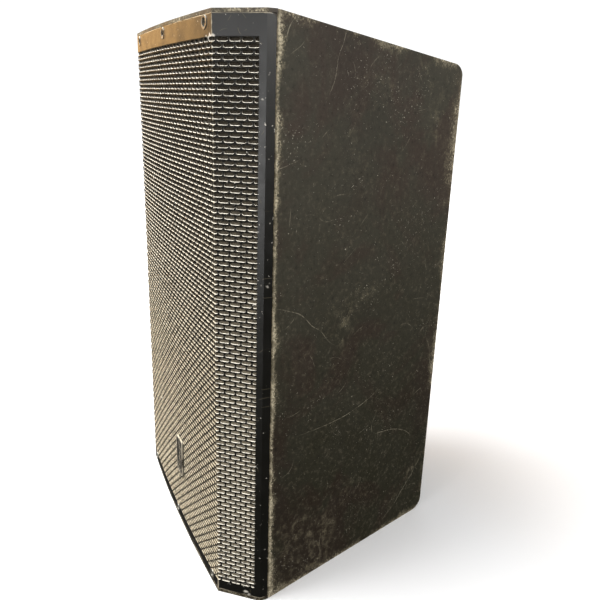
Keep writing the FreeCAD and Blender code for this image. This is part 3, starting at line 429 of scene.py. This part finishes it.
def fibrous(name, colour, pale, scale, roughness=0.95):
    """Felt, pressed paper or treated cloth."""
    g = Graph(name)
    fibre = g.noise(scale, 8.0, 0.8, 2.0)
    tone = g.step(g.noise(20.0, 5.0), 0.35, 0.7)
    g.set(Base_Color=g.mix(g.both(fibre, tone), colour, pale), Roughness=roughness)
    g.set(Normal=g.bump(fibre, 0.6, 0.0006), Sheen_Weight=0.15)
    return g.material


def wound_copper():
    g = Graph("enamelled_copper_winding")
    turns = g.add("ShaderNodeTexWave", {"Vector": g.where, "Scale": 400.0, "Distortion": 0.5}).outputs["Fac"]
    g.set(Base_Color=g.mix(turns, srgb(120, 60, 32), srgb(196, 116, 70)), Metallic=1.0, Roughness=0.35)
    g.set(Normal=g.bump(turns, 0.6, 0.0003))
    return g.material


def bare_plywood():
    g = Graph("bare_plywood")
    rings = g.noise(9.0, 8.0, 0.6, 1.5, g.stretched(1.0, 14.0, 14.0))
    grain = g.noise(300.0, 4.0, 0.7, 0.0, g.stretched(0.1, 1.0, 1.0))
    g.set(Base_Color=g.mix(rings, srgb(196, 164, 120), srgb(158, 120, 78)), Roughness=0.7)
    g.set(Normal=g.bump(g.math("ADD", rings, grain), 0.3, 0.0004))
    return g.material


def sintered_ferrite():
    g = Graph("sintered_ferrite")
    grain = g.noise(1200.0, 4.0, 0.7)
    g.set(Base_Color=g.mix(grain, srgb(38, 38, 40), srgb(64, 64, 66)), Roughness=0.55)
    g.set(Normal=g.bump(grain, 0.35, 0.0003))
    return g.material


def circuit_board():
    g = Graph("glass_epoxy_board")
    weave = g.add("ShaderNodeTexChecker", {"Vector": g.where, "Scale": 1600.0}).outputs["Fac"]
    tracks = g.step(g.cells(120.0).outputs["Distance"], 0.35, 0.4)
    shade = g.mix(tracks, srgb(22, 74, 44), srgb(34, 104, 62))
    g.set(Base_Color=shade, Roughness=0.4, Normal=g.bump(g.math("ADD", weave, tracks), 0.2, 0.0002))
    return g.material


# ============================== The perforated grille ==============================

MARGINS, WALLS, WEBS = range(3)  # its material slots


def outline(s, depth, z):
    """The point of the folded sheet at distance s along it from the middle, depth below its outer face."""
    side = math.copysign(1.0, s)
    run = abs(s)
    half_fold = FACET_ANGLE / 2
    half_corner = (math.pi / 2 - FACET_ANGLE) / 2
    snap = 1e-6
    if run < ARC_HALF - snap:
        turn = run / BOW_RADIUS
        x = (BOW_RADIUS - depth) * math.sin(turn)
        y = FRONT + BOW_RADIUS - (BOW_RADIUS - depth) * math.cos(turn)
    elif run <= ARC_HALF + snap:
        reach = depth / math.cos(half_fold)
        x = FACE_HALF - reach * math.sin(half_fold)
        y = FOLD_Y + reach * math.cos(half_fold)
    elif run < CORNER_S - snap:
        along = run - ARC_HALF
        x = FACE_HALF + along * math.cos(FACET_ANGLE) - depth * math.sin(FACET_ANGLE)
        y = FOLD_Y + along * math.sin(FACET_ANGLE) + depth * math.cos(FACET_ANGLE)
    elif run <= CORNER_S + snap:
        x = HALF_WIDTH - depth
        y = CORNER_Y + depth * math.tan(half_corner)
    else:
        x = HALF_WIDTH - depth
        y = CORNER_Y + run - CORNER_S
    return Vector((side * x, y, z))


def slot_contour(length, height):
    """Points round an obround, anticlockwise from its lower right."""
    r = height / 2
    points = []
    for side, start in ((1, -90), (-1, 90)):
        for i in range(SLOT_END_STEPS + 1):
            a = math.radians(start + 180 * i / SLOT_END_STEPS)
            points.append((side * (length / 2 - r) + r * math.cos(a), r * math.sin(a)))
    return points


def slot_tile(mesh, s, z, share):
    """One slot with the web around it, in the flat sheet. Vertices hold (s, z, depth)."""
    half_s, half_z = SLOT_PITCH / 2, ROW_PITCH / 2
    frame_points = [
        (half_s, -half_z), (half_s, half_z), (0.0, half_z),
        (-half_s, half_z), (-half_s, -half_z), (0.0, -half_z)]
    outer = slot_contour(SLOT_LENGTH + 2 * SLOT_CHAMFER, SLOT_HEIGHT + 2 * SLOT_CHAMFER)
    inner = slot_contour(SLOT_LENGTH, SLOT_HEIGHT)

    def vertex(point, depth):
        key = (round((s + point[0]) * 1e6), round((z + point[1]) * 1e6), round(depth * 1e6))
        if key not in share:
            share[key] = mesh.verts.new((s + point[0], z + point[1], depth))
        return share[key]

    border = [vertex(p, 0.0) for p in frame_points]
    rim = [vertex(p, 0.0) for p in outer]
    wall = [vertex(p, SLOT_CHAMFER) for p in inner]
    count = len(rim)
    right, left = rim[:count // 2], rim[count // 2:]
    middle = SLOT_END_STEPS // 2
    web = [
        [border[5], border[0], right[0]], [border[1], border[2], right[-1]],
        [border[2], border[3], left[0]], [border[4], border[5], left[-1]],
        [border[5], right[0], left[-1]], [border[2], left[0], right[-1]],
        [border[0], border[1], right[middle]], [border[3], border[4], left[middle]],
    ]
    for i in range(SLOT_END_STEPS):
        web.append([border[0] if i < middle else border[1], right[i + 1], right[i]])
        web.append([border[3] if i < middle else border[4], left[i + 1], left[i]])
    for corners in web:
        mesh.faces.new(corners).material_index = WEBS
    for i in range(count):
        j = (i + 1) % count
        mesh.faces.new([rim[i], rim[j], wall[j], wall[i]]).material_index = WALLS


def perforated_field(mesh):
    """All the slots, cut off straight at both outer limits of the perforation."""
    share = {}
    for row in range(ROWS):
        z = FIRST_ROW_Z + row * ROW_PITCH
        shift = 0.5 if row % 2 else 0.0
        reach = math.ceil(PERFORATED_S / SLOT_PITCH) + 1
        for i in range(-reach, reach + 1):
            s = (i + shift) * SLOT_PITCH
            if abs(s) - SLOT_PITCH / 2 < PERFORATED_S:
                slot_tile(mesh, s, z, share)
    for side in (-1, 1):
        everything = mesh.verts[:] + mesh.edges[:] + mesh.faces[:]
        bmesh.ops.bisect_plane(
            mesh, geom=everything, dist=1e-7, plane_co=(side * PERFORATED_S, 0, 0), plane_no=(side, 0, 0),
            clear_outer=True)


def closed_loop(mesh, points):
    """New vertices joined in a ring by edges."""
    ring = [mesh.verts.new((s, z, 0.0)) for s, z in points]
    return [mesh.edges.new((a, b)) for a, b in zip(ring, ring[1:] + ring[:1])]


def field_border(mesh):
    """Edges round the perforated field, with its cut slots bridged at both ends."""
    low, high = FIRST_ROW_Z - ROW_PITCH / 2, FIRST_ROW_Z + (ROWS - 0.5) * ROW_PITCH
    near = 1e-6
    edges = []
    for z in (low, high):
        row = sorted((v for v in mesh.verts if abs(v.co.y - z) < near), key=lambda v: v.co.x)
        edges += [mesh.edges.get(pair) or mesh.edges.new(pair) for pair in zip(row, row[1:])]
    for side in (-1, 1):
        column = [v for v in mesh.verts if abs(v.co.x - side * PERFORATED_S) < near]
        column.sort(key=lambda v: v.co.y)
        for v in column:
            v.co.z = 0.0
        edges += [mesh.edges.get(pair) or mesh.edges.new(pair) for pair in zip(column, column[1:])]
    return edges


def sheet_rim():
    """The flat sheet's outer corners, with the free corners of both returns rounded."""
    points = []
    r = RETURN_CORNER_R
    for cs, cz, start in ((1, 1, 0), (-1, 1, 90), (-1, -1, 180), (1, -1, 270)):
        for i in range(CORNER_STEPS + 1):
            a = math.radians(start + 90 * i / CORNER_STEPS)
            points.append((cs * (END_S - r) + r * math.cos(a), cz, r * math.sin(a)))
    low, high = grille_low.z, grille_high.z
    return [(s, (high - r + dz) if top > 0 else (low + r + dz)) for s, top, dz in points]


def fixing_places():
    """Centres of the grille's fixing holes, as (s, z), read from the washers' places."""
    first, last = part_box("grille_washers")
    reach = BOW_RADIUS * math.asin((last.x - WASHER_R) / BOW_RADIUS)
    return [(s, z) for s in (-reach, 0.0, reach) for z in (first.z + WASHER_R, last.z - WASHER_R)]


def margins(mesh):
    """The plain metal round the perforated field, with the fixing holes."""
    edges = field_border(mesh) + closed_loop(mesh, sheet_rim())
    r = FIXING_HOLE_R
    circle = [math.tau * i / HOLE_STEPS for i in range(HOLE_STEPS)]
    for s, z in fixing_places():
        edges += closed_loop(mesh, [(s + r * math.cos(a), z + r * math.sin(a)) for a in circle])
    made = bmesh.ops.triangle_fill(mesh, edges=edges, use_beauty=True, normal=(0, 0, -1))
    return [f for f in made["geom"] if isinstance(f, bmesh.types.BMFace)]


def fold_lines(mesh, faces):
    """Cuts the margins where the sheet bends, and often enough for the bowed face to stay smooth."""
    half_steps = math.ceil(ARC_HALF / SLOT_PITCH * 2)
    bends = [i * SLOT_PITCH / 2 for i in range(-half_steps, half_steps) if abs(i * SLOT_PITCH / 2) < ARC_HALF]
    for s in bends:
        parts = list({e for f in faces for e in f.edges} | {v for f in faces for v in f.verts}) + faces
        made = bmesh.ops.bisect_plane(mesh, geom=parts, dist=1e-7, plane_co=(s, 0, 0), plane_no=(1, 0, 0))
        faces = [f for f in made["geom"] if isinstance(f, bmesh.types.BMFace)]
    for s in (-CORNER_S, -ARC_HALF, ARC_HALF, CORNER_S):
        everything = mesh.verts[:] + mesh.edges[:] + mesh.faces[:]
        bmesh.ops.bisect_plane(mesh, geom=everything, dist=1e-7, plane_co=(s, 0, 0), plane_no=(1, 0, 0))


def thicken(mesh):
    """Adds the sheet's inner face and the walls of every slot and edge."""
    front = mesh.faces[:]
    rims = [e for e in mesh.edges if len(e.link_faces) == 1]
    back = {v: mesh.verts.new((v.co.x, v.co.y, SHEET)) for e in rims for v in e.verts}
    for face in front:
        if face.material_index != WALLS:
            for v in face.verts:
                if v not in back:
                    back[v] = mesh.verts.new((v.co.x, v.co.y, SHEET))
    for edge in rims:
        a, b = edge.verts
        loop = edge.link_loops[0]
        if loop.vert == a:
            a, b = b, a
        wall = mesh.faces.new([a, b, back[b], back[a]])
        wall.material_index = WALLS
    for face in front:
        verts = [back.get(v) for v in face.verts]
        if None not in verts:
            twin = mesh.faces.new(list(reversed(verts)))
            twin.material_index = MARGINS


def perforated_grille(materials):
    mesh = bmesh.new()
    perforated_field(mesh)
    fold_lines(mesh, margins(mesh))
    bmesh.ops.recalc_face_normals(mesh, faces=mesh.faces[:])
    if sum(f.normal.z for f in mesh.faces) > 0:
        bmesh.ops.reverse_faces(mesh, faces=mesh.faces[:])
    thicken(mesh)
    for v in mesh.verts:
        v.co = outline(v.co.x, v.co.z, v.co.y)
    return finished(mesh, "grille_perforated", materials)


def finished(mesh, name, materials):
    """The bmesh as an object in the scene."""
    data = bpy.data.meshes.new(name)
    mesh.to_mesh(data)
    mesh.free()
    for material in materials:
        data.materials.append(material)
    piece = bpy.data.objects.new(name, data)
    bpy.context.scene.collection.objects.link(piece)
    return piece


# ============================== The foam ==============================


def foam_pad(material):
    """A sheet of open-cell foam bent to the grille's inside, a little uneven, with soft edges."""
    mesh = bmesh.new()
    half = CORNER_S - FOAM_INSET
    columns = round(2 * half / FOAM_STEP)
    rows = round((foam_high.z - foam_low.z) / FOAM_STEP)
    stations = sorted([-half + 2 * half * i / columns for i in range(columns + 1)] + [-ARC_HALF, ARC_HALF])
    layers = []
    for base in (SHEET + FOAM_GAP, SHEET + FOAM_GAP + FOAM_THICK):
        layer = []
        for j in range(rows + 1):
            z = foam_low.z + (foam_high.z - foam_low.z) * j / rows
            line = []
            for i, s in enumerate(stations):
                edge = i in (0, len(stations) - 1) or j in (0, rows)
                middle = SHEET + FOAM_GAP + FOAM_THICK / 2
                swell = FOAM_SWELL * (1 + noise.noise(Vector((s * 60, z * 60, base))))
                depth = base + (swell if base < middle else -swell)
                if edge:
                    depth += (middle - depth) * 0.5
                line.append(mesh.verts.new(outline(s, depth, z)))
            layer.append(line)
        layers.append(layer)
    front, back = layers
    for j in range(rows):
        for i in range(len(stations) - 1):
            mesh.faces.new([front[j][i], front[j][i + 1], front[j + 1][i + 1], front[j + 1][i]])
            mesh.faces.new([back[j][i], back[j + 1][i], back[j + 1][i + 1], back[j][i + 1]])
    last = len(stations) - 1
    rim = (
        [(0, i) for i in range(last + 1)] + [(j, last) for j in range(1, rows + 1)]
        + [(rows, i) for i in reversed(range(last))] + [(j, 0) for j in reversed(range(1, rows))])
    for (j, i), (next_j, next_i) in zip(rim, rim[1:] + rim[:1]):
        mesh.faces.new([front[next_j][next_i], front[j][i], back[j][i], back[next_j][next_i]])
    bmesh.ops.recalc_face_normals(mesh, faces=mesh.faces[:])
    for face in mesh.faces:
        face.smooth = True
    return finished(mesh, "grille_foam_pad", [material])


# ============================== Finishes of the CAD nodes ==============================


# Edge wear is centred this far outside a board, so that the board's whole end isn't rubbed bare.
RIM = 0.007


def finishes():
    """Every CAD node's material, by the record's slot where several nodes share one."""
    side_edges = [("y", SIDE_Y, 0.010), ("y", BACK + RIM, 0.018), ("drop", -RIM, 0.014), ("z", -RIM, 0.016)]
    end_edges = [("lip", -0.004, 0.006), ("y", BACK + RIM, 0.015)]
    flat_edges = [("drop", 0.0, 0.014), ("z", 0.0, 0.014)]
    named = {
        "side_panel_right": painted_wood("paint_right", "y", "z", side_edges, 1.0),
        "side_panel_left": painted_wood("paint_left", "y", "z", side_edges, 21.0),
        "top_panel": painted_wood("paint_top", "x", "y", end_edges, 41.0),
        "bottom_panel": painted_wood("paint_bottom", "x", "y", end_edges, 61.0),
        "back_panel": painted_wood("paint_back", "x", "z", flat_edges, 81.0),
        "baffle": painted_wood("paint_baffle", "x", "z", flat_edges, 101.0),
    }
    by_slot = {
        "bare_ply": bare_plywood(),
        "felt": fibrous("acoustic_felt", srgb(70, 70, 74), srgb(128, 128, 132), 500.0),
        "foam": dusty_foam(),
        "grille_steel": grille_paint("grille_powder_coat", 0.5, 0.30),
        "zinc_steel": metal("worn_zinc_plate", srgb(170, 168, 160), srgb(84, 76, 64), 0.42),
        "plated_iron": metal("plated_iron", srgb(150, 150, 146), srgb(96, 92, 86), 0.40),
        "titanium": metal("titanium_foil", srgb(168, 168, 172), srgb(140, 140, 146), 0.25),
        "cast_alloy": coated("black_cast_alloy", srgb(34, 34, 36), srgb(96, 96, 98), 0.5, 500.0, 0.0006),
        "black_steel": coated("black_steel", srgb(28, 28, 28), srgb(118, 112, 100), 0.42),
        "badge_metal": blank_badge(),
        "black_plastic": coated("moulded_plastic", srgb(30, 30, 31), srgb(92, 88, 80), 0.55),
        "grip_rubber": coated("grip_rubber", srgb(26, 26, 26), srgb(84, 80, 74), 0.8, 400.0, 0.0008),
        "ferrite": sintered_ferrite(),
        "cone_paper": fibrous("pressed_paper", srgb(34, 34, 34), srgb(62, 60, 58), 300.0),
        "treated_cloth": fibrous("treated_cloth", srgb(52, 40, 26), srgb(96, 78, 52), 900.0, 0.7),
        "copper": wound_copper(),
        "board": circuit_board(),
        "capacitor_film": coated("capacitor_wrap", srgb(196, 168, 60), srgb(230, 214, 150), 0.3),
        "ceramic": coated("ceramic_block", srgb(214, 208, 194), srgb(170, 160, 140), 0.75),
    }
    for entry in frame["record"]["subparts"]:
        node = entry["node"]
        material = named.get(node) or by_slot[entry["material_slot"]]
        piece = frame["nodes"][node]
        piece.data.materials.clear()
        piece.data.materials.append(material)
    return by_slot


# ============================== Stage, light and camera ==============================


FLOOR_HALF = 20.0
FLOOR_DROP = 0.0005
FLOOR_GLOW = 0.06
GLOW_FROM = 0.70
GLOW_TO = 2.4


def white_floor():
    g = Graph("white_floor")
    tone = g.noise(1.5, 3.0, 0.5)
    g.set(Base_Color=g.mix(tone, (0.85, 0.85, 0.86, 1), (0.88, 0.88, 0.88, 1)), Roughness=0.9)
    far = g.add("ShaderNodeVectorMath", {0: g.where}, operation="LENGTH").outputs["Value"]
    g.set(Emission_Color=(1.0, 1.0, 1.0, 1.0))
    g.set(Emission_Strength=g.step(far, GLOW_FROM, GLOW_TO, FLOOR_GLOW, 1.0))
    mesh = bmesh.new()
    bmesh.ops.create_grid(mesh, x_segments=8, y_segments=8, size=FLOOR_HALF)
    floor = finished(mesh, "floor", [g.material])
    floor.location.z = -FLOOR_DROP
    floor.visible_diffuse = False
    floor.visible_glossy = False


def area_light(name, at, target, size, power, colour=(1.0, 1.0, 1.0)):
    data = bpy.data.lights.new(name, "AREA")
    data.shape = "SQUARE"
    data.size = size
    data.energy = power
    data.color = colour
    light = bpy.data.objects.new(name, data)
    bpy.context.scene.collection.objects.link(light)
    light.location = at
    light.rotation_euler = (Vector(target) - Vector(at)).to_track_quat("-Z", "Y").to_euler()


def studio():
    """A bright overhead box, fills from right and front, and a golden wall that the grille mirrors."""
    world = bpy.data.worlds.new("studio")
    bpy.context.scene.world = world
    world.use_nodes = True
    nodes, links = world.node_tree.nodes, world.node_tree.links
    ways = nodes.new("ShaderNodeTexCoord").outputs["Generated"]
    split = nodes.new("ShaderNodeSeparateXYZ")
    links.new(ways, split.inputs[0])
    sky = nodes.new("ShaderNodeMapRange")
    sky.interpolation_type = "SMOOTHSTEP"
    brightening = (("From Min", -0.25), ("From Max", 0.35), ("To Min", 0.05), ("To Max", 0.48))
    for socket, value in brightening:
        sky.inputs[socket].default_value = value
    links.new(split.outputs["Z"], sky.inputs["Value"])
    seen = nodes.new("ShaderNodeLightPath").outputs["Is Camera Ray"]
    strength = nodes.new("ShaderNodeMapRange")
    links.new(seen, strength.inputs["Value"])
    links.new(sky.outputs["Result"], strength.inputs["To Min"])
    strength.inputs["To Max"].default_value = 1.1
    links.new(strength.outputs["Result"], nodes["Background"].inputs["Strength"])
    nodes["Background"].inputs["Color"].default_value = (1.0, 1.0, 1.0, 1.0)

    middle = (0.0, 0.0, HEIGHT / 2)
    area_light("overhead", (-0.5, -1.3, 2.7), middle, 2.0, 150.0)
    area_light("right_fill", (2.6, 0.6, 1.8), middle, 1.6, 42.0, (1.0, 0.98, 0.95))
    area_light("low_fill", (1.3, -2.4, 0.35), (0.1, -0.15, 0.25), 1.0, 15.0)
    area_light("golden_wall", (-2.6, -0.9, 1.6), (0.0, -0.15, 1.3), 1.8, 26.0, (1.0, 0.53, 0.13))


CAMERA_AT = (0.85435, -0.39575, 0.65132)
CAMERA_YAW = 1.117
CAMERA_PITCH = -0.3021
CAMERA_ROLL = 0.0311
CAMERA_LENS = 37.512
CAMERA_SENSOR = 36.0
CAMERA_SHIFT = (-0.0012, -0.0150)


def camera():
    data = bpy.data.cameras.new("camera")
    data.sensor_width = CAMERA_SENSOR
    data.lens = CAMERA_LENS
    data.shift_x, data.shift_y = CAMERA_SHIFT
    data.clip_start = 0.02
    eye = bpy.data.objects.new("camera", data)
    bpy.context.scene.collection.objects.link(eye)
    forward = Vector((
        -math.sin(CAMERA_YAW) * math.cos(CAMERA_PITCH), math.cos(CAMERA_YAW) * math.cos(CAMERA_PITCH),
        math.sin(CAMERA_PITCH)))
    level = forward.cross(Vector((0, 0, 1))).normalized()
    above = level.cross(forward)
    right = level * math.cos(CAMERA_ROLL) + above * math.sin(CAMERA_ROLL)
    up = right.cross(forward)
    turn = Matrix((right, up, -forward)).transposed()
    eye.matrix_world = Matrix.Translation(CAMERA_AT) @ turn.to_4x4()
    bpy.context.scene.camera = eye


# ============================== Putting it together ==============================

camera()
studio()
white_floor()
looks = finishes()

webs = grille_paint("grimy_webs", 0.1, 0.45)
grille = perforated_grille([looks["grille_steel"], slot_walls(), webs])
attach(grille, "cabinet")
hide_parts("grille")

pad = foam_pad(looks["foam"])
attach(pad, "cabinet")
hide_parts("grille_foam")

bpy.context.scene.view_settings.view_transform = "Standard"
